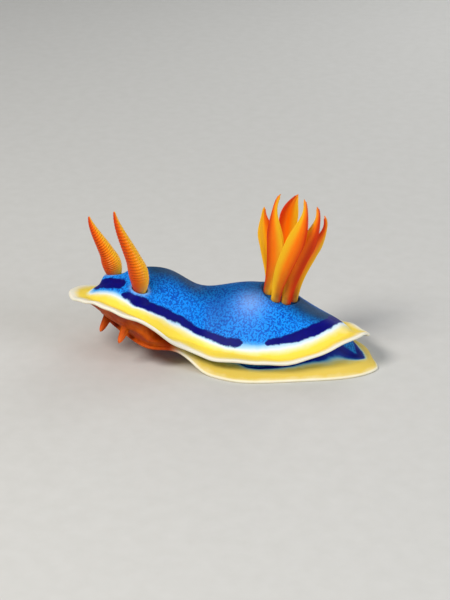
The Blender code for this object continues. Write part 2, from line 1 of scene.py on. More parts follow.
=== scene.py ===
"""The looks of a life-size Chromodoris annae sea slug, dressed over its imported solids."""

import math

import bmesh
import bpy
import numpy as np
from mathutils import Matrix, Vector, kdtree


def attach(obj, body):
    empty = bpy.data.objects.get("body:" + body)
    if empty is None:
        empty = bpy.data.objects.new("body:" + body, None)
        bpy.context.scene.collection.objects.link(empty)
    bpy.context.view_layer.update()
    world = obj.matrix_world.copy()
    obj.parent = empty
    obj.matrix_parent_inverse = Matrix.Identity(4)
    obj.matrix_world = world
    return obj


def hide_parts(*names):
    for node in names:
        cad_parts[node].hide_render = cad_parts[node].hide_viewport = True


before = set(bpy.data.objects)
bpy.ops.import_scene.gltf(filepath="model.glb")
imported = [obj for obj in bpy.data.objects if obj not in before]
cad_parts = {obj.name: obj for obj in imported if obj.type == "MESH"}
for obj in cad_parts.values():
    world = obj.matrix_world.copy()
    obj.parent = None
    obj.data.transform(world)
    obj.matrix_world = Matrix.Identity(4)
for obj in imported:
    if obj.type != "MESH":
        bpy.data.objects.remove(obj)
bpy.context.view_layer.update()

MM = 0.001


# Body: one soft, moist flesh from the mantle's wavy skirt over the flanks to the thin-edged foot, with no
# seam. It is laid out straight along the sole's middle line and then bent into the creeping, reared pose.
# A station runs back from the mantle's front edge, a side to the left and a height up from the sole, in mm.

MANTLE_REAR = 45.5
TAIL_TIP = 47.2
ORIGIN_STATION = 33.0

TURN_STATIONS, TURNS = (0, 12, 24, 36, 50), (67, 34, 2, -7, -3)
TILT_STATIONS, TILTS = (0, 5, 10, 15, 20.5), (16, 25, 32, 20, 0)
BEND_BLUR = 2.0
BEND_HEIGHT = 4.0

MANTLE_HALF_WIDTH = 11.1
MANTLE_SQUARENESS = (0.74, 0.95)
EDGE_HEIGHT = 3.0
EDGE_THICKNESS = 0.5
UNDER_RISE, UNDER_REACH, UNDER_SLOPE = 1.3, 0.80, 0.32
REAR_FLARE, FAR_FLARE_SHARE = 3.0, 0.1
FLARE_FROM, FLARE_LENGTH = 34, 12
NECK_EDGE_RISE = 0.7
BACK_HEIGHT = 7.25
BACK_FRONT, BACK_REAR, BACK_HALF_WIDTH = 2.2, 43.0, 8.5
BACK_END_POWER, BACK_CROWN_POWER = 5, 1.3
WAVE_HEIGHT, WAVES, WAVE_TURN = 0.25, 7, 0.8
RIPPLE_HEIGHT, RIPPLES = 0.07, 19
# Swellings, or narrowings where negative, each with its size, its station and its spread
WAIST_SWELLS = ((-0.11, 18, 6), (0.05, 31, 7))
BACK_SWELLS = ((0.09, 3, 5), (0.14, 10, 5), (-0.19, 19, 5), (0.08, 29, 6), (-0.27, 38, 5))
SOLE_SWELLS = ((1.8, 15.5, 4.5), (-0.7, 8, 3))
SOLE_RESTS_FROM, SOLE_LANDING = 24, 6

# Front, rear and half width of the outlines from the mantle's joint down to the foot's edge
JOINT_LOOP = (1.2, 42.5, 6.6)
FLANK_LOOP, FLANK_HEIGHT = (5.0, 44.0, 7.4), 2.1
INSTEP_LOOP, INSTEP_HEIGHT = (6.6, 45.6, 8.6), 1.5
FOOT_LOOP, FOOT_EDGE_THICKNESS = (8.0, TAIL_TIP, 11.6), 0.5
FLANK_SQUARENESS = (0.5, 0.95)
FOOT_SQUARENESS = (0.58, 1.3)
FOOT_NECK = 0.14
HEAD_SWEEP, TAIL_SWEEP = 1.5, 0.8
FLANK_SAG_SHARE = 0.8

SNOUT_REACH, SNOUT_DROP, SNOUT_HALF_WIDTH = 1.1, 0.7, 4.4
LIP_REACH, LIP_SIDE, LIP_SIZE, LIP_HALF_HEIGHT = 0.45, 0.48, 0.5, 0.7
MOUTH_DEPTH, MOUTH_HALF_WIDTH, MOUTH_HALF_HEIGHT = 0.55, 0.13, 0.55
# The mouth's share of the way down the front wall, and that wall's height
MOUTH_SHARE, WALL_HEIGHT = 0.62, 2.6

RHINOPHORE_STATION, RHINOPHORE_SIDE = 6.1, 3.45
SHEATH_MOUND, SHEATH_SPREAD = 0.45, 2.625
# A sheath's rim: its inner and outer radius, its rise, the socket's depth and how far the rim fades out
SHEATH_RIM = (1.1, 1.45, 0.26, 0.4, 1.0)
SOCKET_DEPTH = 0.1
GILL_STATION = 31.8
POCKET_RADIUS, POCKET_DEPTH, POCKET_SLOPE = 2.9, 0.45, 0.4
POCKET_RIM, POCKET_RIM_SPREAD, POCKET_RIM_OFFSET = 0.1, 0.5, 0.15
PAPILLA_HEIGHT, PAPILLA_RADIUS, PAPILLA_SLOPE = 1.2, 0.62, 0.45


def ease(share):
    """0 below 0, 1 above 1, and a smooth step between."""
    share = np.clip(share, 0.0, 1.0)
    return share * share * (3 - 2 * share)


def bump(distance, width):
    """1 at no distance, and falling off like a bell."""
    return np.exp(-((distance / width) ** 2))


def swell(station, rows):
    """The sum of the swellings at a station."""
    return sum(size * bump(station - at, spread) for size, at, spread in rows)


def blurred(station, stations, angles):
    """An angle read from a few stations, with the corners between them rounded off."""
    steps = [np.interp(station + step * BEND_BLUR, stations, angles) for step in (-1, -0.5, 0, 0.5, 1)]
    return np.radians(sum(steps) / len(steps))


def forward(station):
    """Unit vector towards the head, along the bent body."""
    turn = blurred(station, TURN_STATIONS, TURNS)
    rise = blurred(station, TILT_STATIONS, TILTS)
    return np.stack([np.sin(turn) * np.cos(rise), -np.cos(turn) * np.cos(rise), np.sin(rise)], axis=-1)


def leftward(station):
    """Unit vector to the animal's left."""
    turn = blurred(station, TURN_STATIONS, TURNS)
    return np.stack([np.cos(turn), np.sin(turn), np.zeros_like(turn)], axis=-1)


def upward(station):
    """Unit vector out of the back."""
    return np.cross(forward(station), leftward(station))


def middle_line(step=0.25, spare=4.0):
    """Stations and points along the line the body bends about, summed up from the tail, which lies flat."""
    stations = np.arange(-spare, TAIL_TIP + spare, step)
    steps = forward((stations[1:] + stations[:-1]) / 2) * step
    points = np.concatenate([np.cumsum(steps[::-1], axis=0)[::-1], np.zeros((1, 3))])
    points[:, 2] += BEND_HEIGHT
    for axis in (0, 1):
        points[:, axis] -= np.interp(ORIGIN_STATION, stations, points[:, axis])
    return stations, points


LINE_STATIONS, LINE_POINTS = middle_line()


def posed(station, side, height):
    """Points of the straight body, bent into the pose, in millimetres."""
    station, side, height = (np.asarray(value, float) for value in (station, side, height))
    on_line = [np.interp(station, LINE_STATIONS, LINE_POINTS[:, axis]) for axis in range(3)]
    left, up = side[..., None], (height - BEND_HEIGHT)[..., None]
    return np.stack(on_line, axis=-1) + leftward(station) * left + upward(station) * up


def waist(station):
    """How the outlines narrow at the neck and widen at the gills, as a factor."""
    return 1 + swell(station, WAIST_SWELLS)


def loop_point(loop, angle, reach=1.0, squareness=MANTLE_SQUARENESS):
    """(station, side) on a rounded loop of given front, rear and half width, or part of the way out to it."""
    front, rear, half_width = loop
    along, across = np.cos(angle), np.sin(angle)
    power = np.where(along > 0, squareness[0], squareness[1])
    along = np.sign(along) * np.abs(along) ** power
    across = np.sign(across) * np.abs(across) ** power
    station = (front + rear) / 2 - (rear - front) / 2 * along * reach
    return station, half_width * waist(station) * across * reach


def mantle_point(angle, reach=1.0):
    return loop_point((0.0, MANTLE_REAR, MANTLE_HALF_WIDTH), angle, reach)


def head_sweep(station):
    """How far the head reaches to the animal's left under the mantle."""
    return HEAD_SWEEP * ease((14 - station) / 6)


def lower_point(loop, angle):
    """(station, side) on a loop of the flanks, which follow the head's reach to the left."""
    station, side = loop_point(loop, angle, 1.0, FLANK_SQUARENESS)
    return station, side + head_sweep(station)


def foot_point(angle, reach=1.0):
    """(station, side) inside the foot's edge, narrowed at the neck and swept a little to the left behind."""
    station, side = loop_point(FOOT_LOOP, angle, reach, FOOT_SQUARENESS)
    side = side * (1 - FOOT_NECK * bump(station - 14.5, 5))
    return station, side + TAIL_SWEEP * ease((station - 38) / 9)


def sag(station):
    """How far the foot's free front hangs down, before it arches up to the resting sole."""
    return swell(station, SOLE_SWELLS) * ease((SOLE_RESTS_FROM - station) / SOLE_LANDING)


def reach_of(station, side):
    """Share of the way from the mantle's middle to its edge."""
    along = 1 - 2 * station / MANTLE_REAR
    across = np.abs(side) / (MANTLE_HALF_WIDTH * waist(station))
    power = 2 / np.where(along > 0, MANTLE_SQUARENESS[0], MANTLE_SQUARENESS[1])
    return np.minimum((np.abs(along) ** power + across**power) ** (1 / power), 1.0)


def skirt_height(station, side):
    """Height of the mantle's upper face as it would be with no back on it."""
    reach = reach_of(station, side)
    angle = np.arctan2(side / MANTLE_HALF_WIDTH, 1 - 2 * station / MANTLE_REAR)
    wave = WAVE_HEIGHT * np.sin(WAVES * angle + WAVE_TURN) * reach**4
    ripple = RIPPLE_HEIGHT * np.sin(RIPPLES * angle + 1.3 * np.sin(3 * angle)) * reach**9
    flare_share = FAR_FLARE_SHARE + (1 - FAR_FLARE_SHARE) * ease((side + 6) / 8)
    flare = REAR_FLARE * flare_share * ease((station - FLARE_FROM) / FLARE_LENGTH)
    return EDGE_HEIGHT + wave + ripple + flare + NECK_EDGE_RISE * bump(station - 17, 4)


def back_height(station, side):
    """Height of the mantle's upper face: high behind the rhinophores and before the gills, low between."""
    station, side = np.asarray(station, float), np.asarray(side, float)
    middle, half = (BACK_FRONT + BACK_REAR) / 2, (BACK_REAR - BACK_FRONT) / 2
    across = np.abs(side) / (BACK_HALF_WIDTH * waist(station))
    inside = np.maximum(1 - (np.abs(station - middle) / half) ** BACK_END_POWER - across**2, 0.0)
    back = BACK_HEIGHT * (1 + swell(station, BACK_SWELLS)) * inside**BACK_CROWN_POWER
    from_sheath = np.hypot(station - RHINOPHORE_STATION, np.abs(side) - RHINOPHORE_SIDE)
    return skirt_height(station, side) + back + SHEATH_MOUND * bump(from_sheath, SHEATH_SPREAD)


def pocket(station, side):
    """Heights over the back of the gill pocket's floor and rim, and of the anal papilla in its middle."""
    from_middle = np.hypot(station - GILL_STATION, side)
    rim = POCKET_RIM * bump(from_middle - POCKET_RADIUS - POCKET_RIM_OFFSET, POCKET_RIM_SPREAD)
    papilla = PAPILLA_HEIGHT * ease((PAPILLA_RADIUS - from_middle) / PAPILLA_SLOPE)
    return rim + papilla - POCKET_DEPTH * ease((POCKET_RADIUS - from_middle) / POCKET_SLOPE)


def under_height(station, side):
    """Height of the mantle's lower face over the sole: the skirt overhangs the flanks."""
    inward = ease((UNDER_REACH - reach_of(station, side)) / UNDER_SLOPE)
    return skirt_height(station, side) - EDGE_THICKNESS + UNDER_RISE * inward


def evenly_round(angle, steps=4000):
    """Angles respaced so that equal steps are equal lengths of the mantle's edge."""
    fine = np.linspace(-math.pi, math.pi, steps + 1)
    station, side = mantle_point(fine)
    length = np.concatenate([[0.0], np.cumsum(np.hypot(np.diff(station), np.diff(side)))])
    return np.interp(angle, (length / length[-1] * 2 - 1) * math.pi, fine)


# Shares of the way down the skin, from the middle of the back, 0, to the middle of the sole, 1
RIM_TOP, RIM_BOTTOM, JOINT, INSTEP, FOOT_TOP, FOOT_BOTTOM = 0.44, 0.465, 0.55, 0.68, 0.78, 0.80
# The flanks' share of the way from the joint to the instep, and the edge's start as a share of the way out
FLANK_SHARE, EDGE_REACH = 0.6, 0.985
# How the rings of the back crowd: below 1, closer together towards the edge
BACK_SPACING = 0.85


def snout(angle, share):
    """How far the front wall bulges forwards, and hangs down, to form the snout and its lips.

    The share is that of the way down the wall.
    """
    _, side = loop_point(FLANK_LOOP, angle, 1.0, FLANK_SQUARENESS)
    ahead = ease((np.cos(angle) + 0.1) / 0.2) * np.exp(-((side / SNOUT_HALF_WIDTH) ** 4))
    bulge = SNOUT_REACH * np.sin(math.pi * (0.1 + 0.9 * share) ** 1.2)
    drop = SNOUT_DROP * np.sin(math.pi * share**2.2)
    below = (share - MOUTH_SHARE) * WALL_HEIGHT
    lips = LIP_REACH * bump(np.abs(side) - LIP_SIDE, LIP_SIZE) * bump(below, LIP_HALF_HEIGHT)
    slit = MOUTH_DEPTH * bump(side, MOUTH_HALF_WIDTH) * np.exp(-((below / MOUTH_HALF_HEIGHT) ** 4))
    return ahead * (bulge + lips - slit), ahead * drop


def skin_point(down, angle):
    """(station, side, height) on the straight skin, from the share of the way down and the angle round."""

    def share(first, last):
        return np.clip((down - first) / (last - first), 0.0, 1.0)

    def between(first, second, part):
        return [a + (b - a) * part for a, b in zip(first, second)]

    back = mantle_point(angle, EDGE_REACH * share(0, RIM_TOP) ** BACK_SPACING)
    back = (*back, back_height(*back) + pocket(*back))

    turn = math.pi * (0.5 - share(RIM_TOP, RIM_BOTTOM))
    rim = mantle_point(angle, EDGE_REACH + (1 - EDGE_REACH) * np.cos(turn))
    rim = (*rim, back_height(*rim) - EDGE_THICKNESS / 2 * (1 - np.sin(turn)))

    joint = lower_point(JOINT_LOOP, angle)
    start, _ = snout(angle, 0.0)
    joint_ahead = (joint[0] - start, joint[1])
    skirt = between(mantle_point(angle, EDGE_REACH), joint_ahead, share(RIM_BOTTOM, JOINT))
    skirt = (*skirt, under_height(*skirt))

    joint = (*joint, under_height(*joint))
    flank = lower_point(FLANK_LOOP, angle)
    flank = (*flank, FLANK_HEIGHT + sag(flank[0]) * FLANK_SAG_SHARE)
    instep = lower_point(INSTEP_LOOP, angle)
    instep = (*instep, INSTEP_HEIGHT + sag(instep[0]))
    lowered = share(JOINT, INSTEP)
    wall = between(joint, flank, np.clip(lowered / FLANK_SHARE, 0, 1))
    wall = between(wall, instep, np.clip((lowered - FLANK_SHARE) / (1 - FLANK_SHARE), 0, 1))
    reach, drop = snout(angle, lowered)
    wall = (wall[0] - reach, wall[1], wall[2] - drop)

    edge = foot_point(angle, EDGE_REACH)
    edge = (*edge, FOOT_EDGE_THICKNESS + sag(edge[0]))
    apron = between(instep, edge, share(INSTEP, FOOT_TOP))

    turn = math.pi * (0.5 - share(FOOT_TOP, FOOT_BOTTOM))
    lip = foot_point(angle, EDGE_REACH + (1 - EDGE_REACH) * np.cos(turn))
    lip = (*lip, FOOT_EDGE_THICKNESS / 2 * (1 + np.sin(turn)) + sag(lip[0]))

    sole = foot_point(angle, EDGE_REACH * (1 - share(FOOT_BOTTOM, 1)))
    sole = (*sole, sag(sole[0]))

    zones = [down <= end for end in (RIM_TOP, RIM_BOTTOM, JOINT, INSTEP, FOOT_TOP, FOOT_BOTTOM)]
    rows = [back, rim, skirt, wall, apron, lip]
    return [np.select(zones, [row[axis] for row in rows], sole[axis]) for axis in range(3)]


def sphere_places(bm):
    """Each vertex's share of the way down and its angle round, read from the ball it starts on."""
    points = np.array([vertex.co for vertex in bm.verts], float)
    points /= np.linalg.norm(points, axis=1)[:, None]
    down = np.arccos(np.clip(points[:, 2], -1, 1)) / math.pi
    return down, evenly_round(np.arctan2(points[:, 1], points[:, 0]))


def make_finer(bm, within, size):
    """Faces split once where within(station, side, down, size) says so."""
    down, angle = sphere_places(bm)
    station, side, _ = skin_point(down, angle)
    chosen = within(station, side, down, size)
    bm.verts.index_update()
    faces = [face for face in bm.faces if all(chosen[vertex.index] for vertex in face.verts)]
    edges = list({edge for face in faces for edge in face.edges})
    bmesh.ops.subdivide_edges(bm, edges=edges, cuts=1, use_grid_fill=True)


def near_sheath(station, side, down, radius):
    """Whether a point is on the back within a radius of a rhinophore's middle."""
    distance = np.hypot(station - RHINOPHORE_STATION, np.abs(side) - RHINOPHORE_SIDE)
    return (distance < radius) & (down < RIM_TOP)


def near_pocket(station, side, down, radius):
    """Whether a point is on the back within a radius of the gill ring's middle."""
    return (np.hypot(station - GILL_STATION, side) < radius) & (down < RIM_TOP)


def on_snout(station, side, down, half_width):
    """Whether a point is on the head's front wall."""
    in_front = (station < 10) & (np.abs(side - HEAD_SWEEP) < half_width)
    return in_front & (down > JOINT - 0.01) & (down < INSTEP + 0.03)


SKIN_SEGMENTS, SKIN_RINGS = 224, 250
# Where the skin's faces are made finer, one step after another, and within how many mm
FINER_PLACES = ((near_sheath, 2.7), (near_sheath, 2.1), (near_pocket, 4.0), (on_snout, 5.4), (on_snout, 4.4))

bm = bmesh.new()
bmesh.ops.create_uvsphere(bm, u_segments=SKIN_SEGMENTS, v_segments=SKIN_RINGS, radius=1.0)
for within, size in FINER_PLACES:
    make_finer(bm, within, size)

down, angle = sphere_places(bm)
station, side, height = skin_point(down, angle)
skin_mm = posed(station, side, height)


def unit(vector):
    """A vector's direction."""
    return vector / np.linalg.norm(vector)


def back_normal(station, side, step=0.2):
    """Unit normal of the back, in the pose."""
    here = posed(station, side, back_height(station, side))
    ahead = posed(station - step, side, back_height(station - step, side))
    left = posed(station, side + step, back_height(station, side + step))
    return unit(np.cross(ahead - here, left - here))


def rhinophore_root(sign):
    """Centre of a rhinophore's socket floor, and the sheath's axis, sign 1 for the animal's left."""
    side = sign * RHINOPHORE_SIDE
    axis = unit(back_normal(RHINOPHORE_STATION, side) + upward(RHINOPHORE_STATION))
    on_back = posed(RHINOPHORE_STATION, side, back_height(RHINOPHORE_STATION, side))
    return on_back - axis * SOCKET_DEPTH, axis


def gill_floor(radius, angle):
    """A point of the gill pocket's floor, by radius and angle from ahead to the left, and its normal."""
    station, side = GILL_STATION - radius * math.cos(angle), radius * math.sin(angle)
    return posed(station, side, back_height(station, side) - POCKET_DEPTH), back_normal(station, side)


def ringed(points, top, root, axis, inner, outer, rise, depth, fade):
    """Points near an axis moved along it into a pit with a rounded rim, and how much each is on the rim."""
    offset = points - root
    up = offset @ axis
    across = np.linalg.norm(offset - up[:, None] * axis, axis=1)
    middle = (inner + outer) / 2
    pit = -depth + (rise + depth) * ease((across - inner + 0.12) / (middle - inner + 0.06))
    slope = up + (rise - up) * ease((outer + fade - across) / (outer + fade - middle))
    wanted = np.where(across < middle, pit, slope)
    moved = points + axis * np.where(top & (across < outer + fade), wanted - up, 0.0)[:, None]
    return moved, np.where(top, bump(across - middle, 0.3), 0.0)


on_back = down < RIM_TOP
# A pale painted highlight goes on each sheath's rim, by how much a point is on the rim
collar = np.zeros(len(skin_mm))
for sign in (1, -1):
    skin_mm, on_rim = ringed(skin_mm, on_back, *rhinophore_root(sign), *SHEATH_RIM)
    collar = np.maximum(collar, on_rim)

# Where the colour bands run: mm from the mantle's edge, at a few stations of the edge from front to rear
BAND_STATIONS = (0, 2, 5, 9, 15, 18, 22, 27, 33, 36, 38.5, 41, 43, 45.5)
CREAM_ENDS = (1.3, 1.2, 0.9, 1.0, 1.0, 0.7, 0.6, 0.55, 0.6, 0.8, 0.7, 0.6, 0.7, 0.7)
YELLOW_ENDS = (3.2, 2.7, 3.0, 3.6, 3.4, 3.0, 2.8, 2.7, 2.4, 2.4, 2.35, 2.4, 2.7, 3.6)
WHITE_ENDS = (3.8, 3.1, 3.4, 4.1, 4.2, 3.6, 3.35, 3.3, 3.3, 3.7, 3.55, 3.6, 3.8, 4.6)
NAVY_ENDS = (4.5, 4.2, 4.9, 5.5, 5.5, 4.6, 4.5, 4.5, 4.3, 4.8, 5.2, 5.6, 5.7, 6.4)
# Stretches of the navy line, in mm along the straight mantle's edge from its front, the left side positive
NAVY_STRETCHES = ((-10.5, 2.0), (3.3, 34.2), (38.8, 58.0), (-58.0, -38.8), (-34.2, -14.0))
NAVY_END_LENGTH = 1.2
# How much further in the front stretch starts and ends than the rows say, in mm
FRONT_SHIFT = (0.75, 2.1)
# The same for the foot: where its yellow, its pale line and its navy line end
FOOT_CREAM_END = 0.35
FOOT_STATIONS = (19, 28, 30, 32.6, 35, 37.5, 39, 41, 43, 44, 46, 47.2)
FOOT_YELLOW_ENDS = (3.6, 2.9, 2.4, 2.15, 2.0, 2.1, 2.45, 2.5, 2.8, 2.8, 2.3, 2.1)
FOOT_PALE_ENDS = (4.4, 3.5, 2.8, 2.4, 2.3, 2.5, 2.85, 3.1, 3.7, 3.4, 2.5, 2.3)
FOOT_NAVY_ENDS = (4.5, 3.6, 3.1, 2.8, 2.9, 3.4, 3.8, 4.7, 6.0, 5.6, 4.2, 3.2)

EDGE_POINTS = 1440

rim_angle = evenly_round(np.linspace(-math.pi, math.pi, EDGE_POINTS + 1))[:-1]
rim_plan = mantle_point(rim_angle)
rim_mm = posed(*rim_plan, back_height(*rim_plan) - EDGE_THICKNESS / 2)
along_rim = np.cumsum(np.hypot(*(axis - np.roll(axis, 1) for axis in rim_plan)))
along_rim -= along_rim[EDGE_POINTS // 2]
foot_plan = foot_point(np.linspace(-math.pi, math.pi, EDGE_POINTS + 1)[:-1])
foot_edge_mm = posed(*foot_plan, sag(foot_plan[0]) + FOOT_EDGE_THICKNESS / 2)


def nearest(line, points):
    """For each point, the nearest point of a line: its number and its distance."""
    tree = kdtree.KDTree(len(line))
    for number, point in enumerate(line):
        tree.insert(point, number)
    tree.balance()
    found = [tree.find(point)[1:] for point in points]
    return np.array([number for number, _ in found]), np.array([distance for _, distance in found])


rim_number, from_rim = nearest(rim_mm, skin_mm)
foot_number, from_foot_edge = nearest(foot_edge_mm, skin_mm)
edge_station = rim_plan[0][rim_number]
edge_along = along_rim[rim_number]
foot_station = foot_plan[0][foot_number]


def band_of(distance, edge_station, stations, *rows):
    """How far in through the bands a point lies: of four, a quarter at the first one's end, and so on."""
    ends = [np.interp(edge_station, stations, row) for row in rows]
    starts = [np.zeros_like(distance), *ends[:-1]]
    passed = [np.clip((distance - first) / (last - first), 0, 1) for first, last in zip(starts, ends)]
    return sum(passed) / len(rows)


def navy_depth(distance, edge_station, edge_along):
    """How many millimetres a point lies inside the navy line, negative outside it."""
    first = np.interp(edge_station, BAND_STATIONS, WHITE_ENDS)
    last = np.interp(edge_station, BAND_STATIONS, NAVY_ENDS)
    in_front = ease((edge_along + 9.5) / 3) * (1 - ease((edge_along - 1.8) / 1.2))
    first, last = first + FRONT_SHIFT[0] * in_front, last + FRONT_SHIFT[1] * in_front
    middle, half = (first + last) / 2, (last - first) / 2
    within = np.full_like(distance, -9.0)
    for start, stop in NAVY_STRETCHES:
        within = np.maximum(within, np.minimum(edge_along - start, stop - edge_along))
    tapered = np.clip(within / NAVY_END_LENGTH, 0, 1)
    return half * np.sqrt(1 - (1 - tapered) ** 2) - np.abs(distance - middle) + np.minimum(within, 0)


mantle_rows = (CREAM_ENDS, YELLOW_ENDS, WHITE_ENDS, NAVY_ENDS)
foot_rows = (np.full(len(FOOT_STATIONS), FOOT_CREAM_END), FOOT_YELLOW_ENDS, FOOT_PALE_ENDS, FOOT_NAVY_ENDS)
# Painted shade makes the back darkest along its crest, less so at the neck, and a little on the saddle; a
# painted highlight makes it palest at the gills
on_crest = 1 - ease((np.abs(side) - 0.8) / 3.4)
layers = {
    "band": band_of(from_rim, edge_station, BAND_STATIONS, *mantle_rows),
    "navy": navy_depth(from_rim, edge_station, edge_along),
    "from_rim": from_rim,
    "foot_band": band_of(from_foot_edge, foot_station, FOOT_STATIONS, *foot_rows),
    "station": station,
    # painted shade along the crest, weaker at the neck
    "painted_crest_shade": (0.92 - 0.4 * bump(station - 24, 5)) * on_crest * ease((station - 5) / 4),
    # painted shade in the saddle
    "painted_saddle_shade": 0.55 * bump(station - 23, 3.2) * bump(np.abs(side) - 3.4, 3.0),
    # painted highlight on the hump before the gills
    "painted_highlight": 0.4 * bump(station - 28.2, 2.2) * bump(np.abs(side) - 3.2, 1.8),
    "above": 1 - ease((down - RIM_TOP) / (RIM_BOTTOM - RIM_TOP)),
    "foot": ease((down - JOINT + 0.01) / 0.02),
    # painted highlight on the sheath rims
    "collar": 0.5 * collar,
    "feeler": np.zeros(len(down)),
}
bm.verts.index_update()
for name, values in layers.items():
    layer = bm.verts.layers.float.new(name)
    for vertex in bm.verts:
        vertex[layer] = values[vertex.index]
feeler = bm.verts.layers.float["feeler"]
for vertex in bm.verts:
    vertex.co = skin_mm[vertex.index] * MM

# Fillets under the skirt, at the snout and where the flank runs out into the foot
FILLET_FROM, FILLET_TO, FILLET_PASSES = 0.515, 0.755, 10


def smooth(bm, vertices, passes):
    """Some vertices drawn towards the middle of their neighbours, several times over."""
    axes = {"use_axis_x": True, "use_axis_y": True, "use_axis_z": True}
    for _ in range(passes):
        bmesh.ops.smooth_vert(bm, verts=vertices, factor=0.5, **axes)


bm.verts.ensure_lookup_table()
fillet = np.nonzero((down > FILLET_FROM) & (down < FILLET_TO))[0]
smooth(bm, [bm.verts[number] for number in fillet], FILLET_PASSES)

ORAL_STATION, ORAL_SIDE, ORAL_HEIGHT = 5.8, 2.4, 1.2
ORAL_LENGTH, ORAL_RADIUS, ORAL_AHEAD = 2.9, 0.78, 0.3
ORAL_PATCH, ORAL_TAPER = 0.9, 0.5
HEAD_LOWEST = 0.9
ORAL_STEPS, ORAL_FILLET_PASSES = 14, 4


def draw_out_tentacle(bm, sign):
    """A finger drawn out of the snout: a patch of skin extruded in steps along a bent line, and narrowed."""
    ahead, left, up = forward(ORAL_STATION), leftward(ORAL_STATION) * sign, upward(ORAL_STATION)
    root = posed(ORAL_STATION, sign * ORAL_SIDE + HEAD_SWEEP, ORAL_HEIGHT)
    way = unit(left * 0.05 - up)

    def middle(face):
        return np.array(face.calc_center_median()) / MM

    faces = [
        face
        for face in bm.faces
        if all(JOINT < vertex[share_down] < HEAD_LOWEST for vertex in face.verts)
        and np.linalg.norm(np.cross(middle(face) - root, way)) < ORAL_RADIUS * ORAL_PATCH
        and np.array(face.normal) @ way > 0
    ]
    centre = np.mean([middle(face) for face in faces], axis=0)
    drawn_out = root + way * ORAL_LENGTH + ahead * ORAL_AHEAD - centre
    before, radius = centre, ORAL_RADIUS
    for step in range(1, ORAL_STEPS + 1):
        share = step / ORAL_STEPS
        after = centre + drawn_out * share
        width = ORAL_RADIUS * (1 - ORAL_TAPER * share) * math.sqrt(max(1 - share**8, 0.02))
        drawn = bmesh.ops.extrude_face_region(bm, geom=faces)["geom"]
        faces = [item for item in drawn if isinstance(item, bmesh.types.BMFace)]
        for vertex in (item for item in drawn if isinstance(item, bmesh.types.BMVert)):
            offset = np.array(vertex.co) / MM - before
            lengthwise = way * (offset @ way)
            crosswise = offset - lengthwise
            vertex.co = (after + crosswise * width / radius + lengthwise * 0.6) * MM
            vertex[feeler] = share
        before, radius = after, width


share_down = bm.verts.layers.float.new("down")
for vertex in bm.verts:
    vertex[share_down] = down[vertex.index]
for sign in (1, -1):
    draw_out_tentacle(bm, sign)
fingers = [vertex for vertex in bm.verts if vertex[feeler] > 0]
roots = [vertex for vertex in fingers if vertex[feeler] < 0.1]
around_roots = [other for vertex in roots for edge in vertex.link_edges for other in edge.verts]
smooth(bm, list(set(fingers + around_roots)), ORAL_FILLET_PASSES)


def finished(name, bm, finish):
    """A bmesh turned into a smooth-shaded piece that rides on the body."""
    mesh = bpy.data.meshes.new(name)
    bm.to_mesh(mesh)
    bm.free()
    mesh.shade_smooth()
    mesh.materials.append(finish)
    piece = bpy.data.objects.new(name, mesh)
    bpy.context.scene.collection.objects.link(piece)
    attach(piece, "root")
    return piece


def colour(code):
    """An sRGB hex code as linear red, green, blue and alpha."""
    parts = [int(code[start : start + 2], 16) / 255 for start in (1, 3, 5)]
    return (*(part / 12.92 if part <= 0.04045 else ((part + 0.055) / 1.055) ** 2.4 for part in parts), 1.0)


def add_node(tree, kind, inputs=(), out=0, stops=(), **settings):
    """Adds a node with its settings and returns one of its sockets. Sockets given as inputs are linked."""
    node = tree.nodes.new(kind)
    for name, value in settings.items():
        setattr(node, name, value)
    for name, value in dict(inputs).items():
        if isinstance(value, bpy.types.NodeSocket):
            tree.links.new(value, node.inputs[name])
        else:
            node.inputs[name].default_value = value
    if stops:
        ramp = node.color_ramp
        while len(ramp.elements) < len(stops):
            ramp.elements.new(0.5)
        for element, (place, code) in zip(ramp.elements, stops):
            element.position, element.color = place, colour(code)
    return node.outputs[out]


# Sizes of the skin's patches, in mm. The specks are coarser than a real slug's, as the picture shows them
PATCH_SIZES = {"granule": 0.3, "speck": 0.28, "fleck": 0.8, "blot": 2.2, "cloud": 6.0}
MANTLE_BANDS = (
    (0.00, "#F2EFE2"),
    (0.15, "#EFEAD0"),
    (0.31, "#F9DC4C"),
    (0.44, "#FFE250"),
    (0.55, "#F3EEB4"),
    (0.64, "#EAF4F6"),
    (0.75, "#B4DEFF"),
    (0.87, "#5AB6FF"),
    (1.00, "#2AA2FF"),
)
FOOT_BANDS = (
    (0.00, "#FBF4E2"),
    (0.16, "#F3E6B8"),
    (0.30, "#E6C758"),
    (0.44, "#E2C55A"),
    (0.53, "#DCD79C"),
    (0.63, "#A9C8C0"),
    (0.72, "#4F93BE"),
    (0.78, "#0B2A8C"),
    (0.86, "#060A70"),
    (0.95, "#0A1A7C"),
    (1.00, "#1468A6"),
)
AZURE, SPECK_BLUE = "#1296FF", "#0044B8"
# Painted shade in the saddle, painted highlight before the gills, painted shade on the crest, painted
# highlight on the sheath rims
PAINTED_BACK_LIGHT_AND_SHADE = {"painted_saddle_shade": "#08408E", "painted_highlight": "#A6C2F6", "painted_crest_shade": "#032C44", "collar": "#A2CDF2"}
EASED = {"interpolation_type": "SMOOTHSTEP"}
MIXED = {"out": 2, "data_type": "RGBA"}


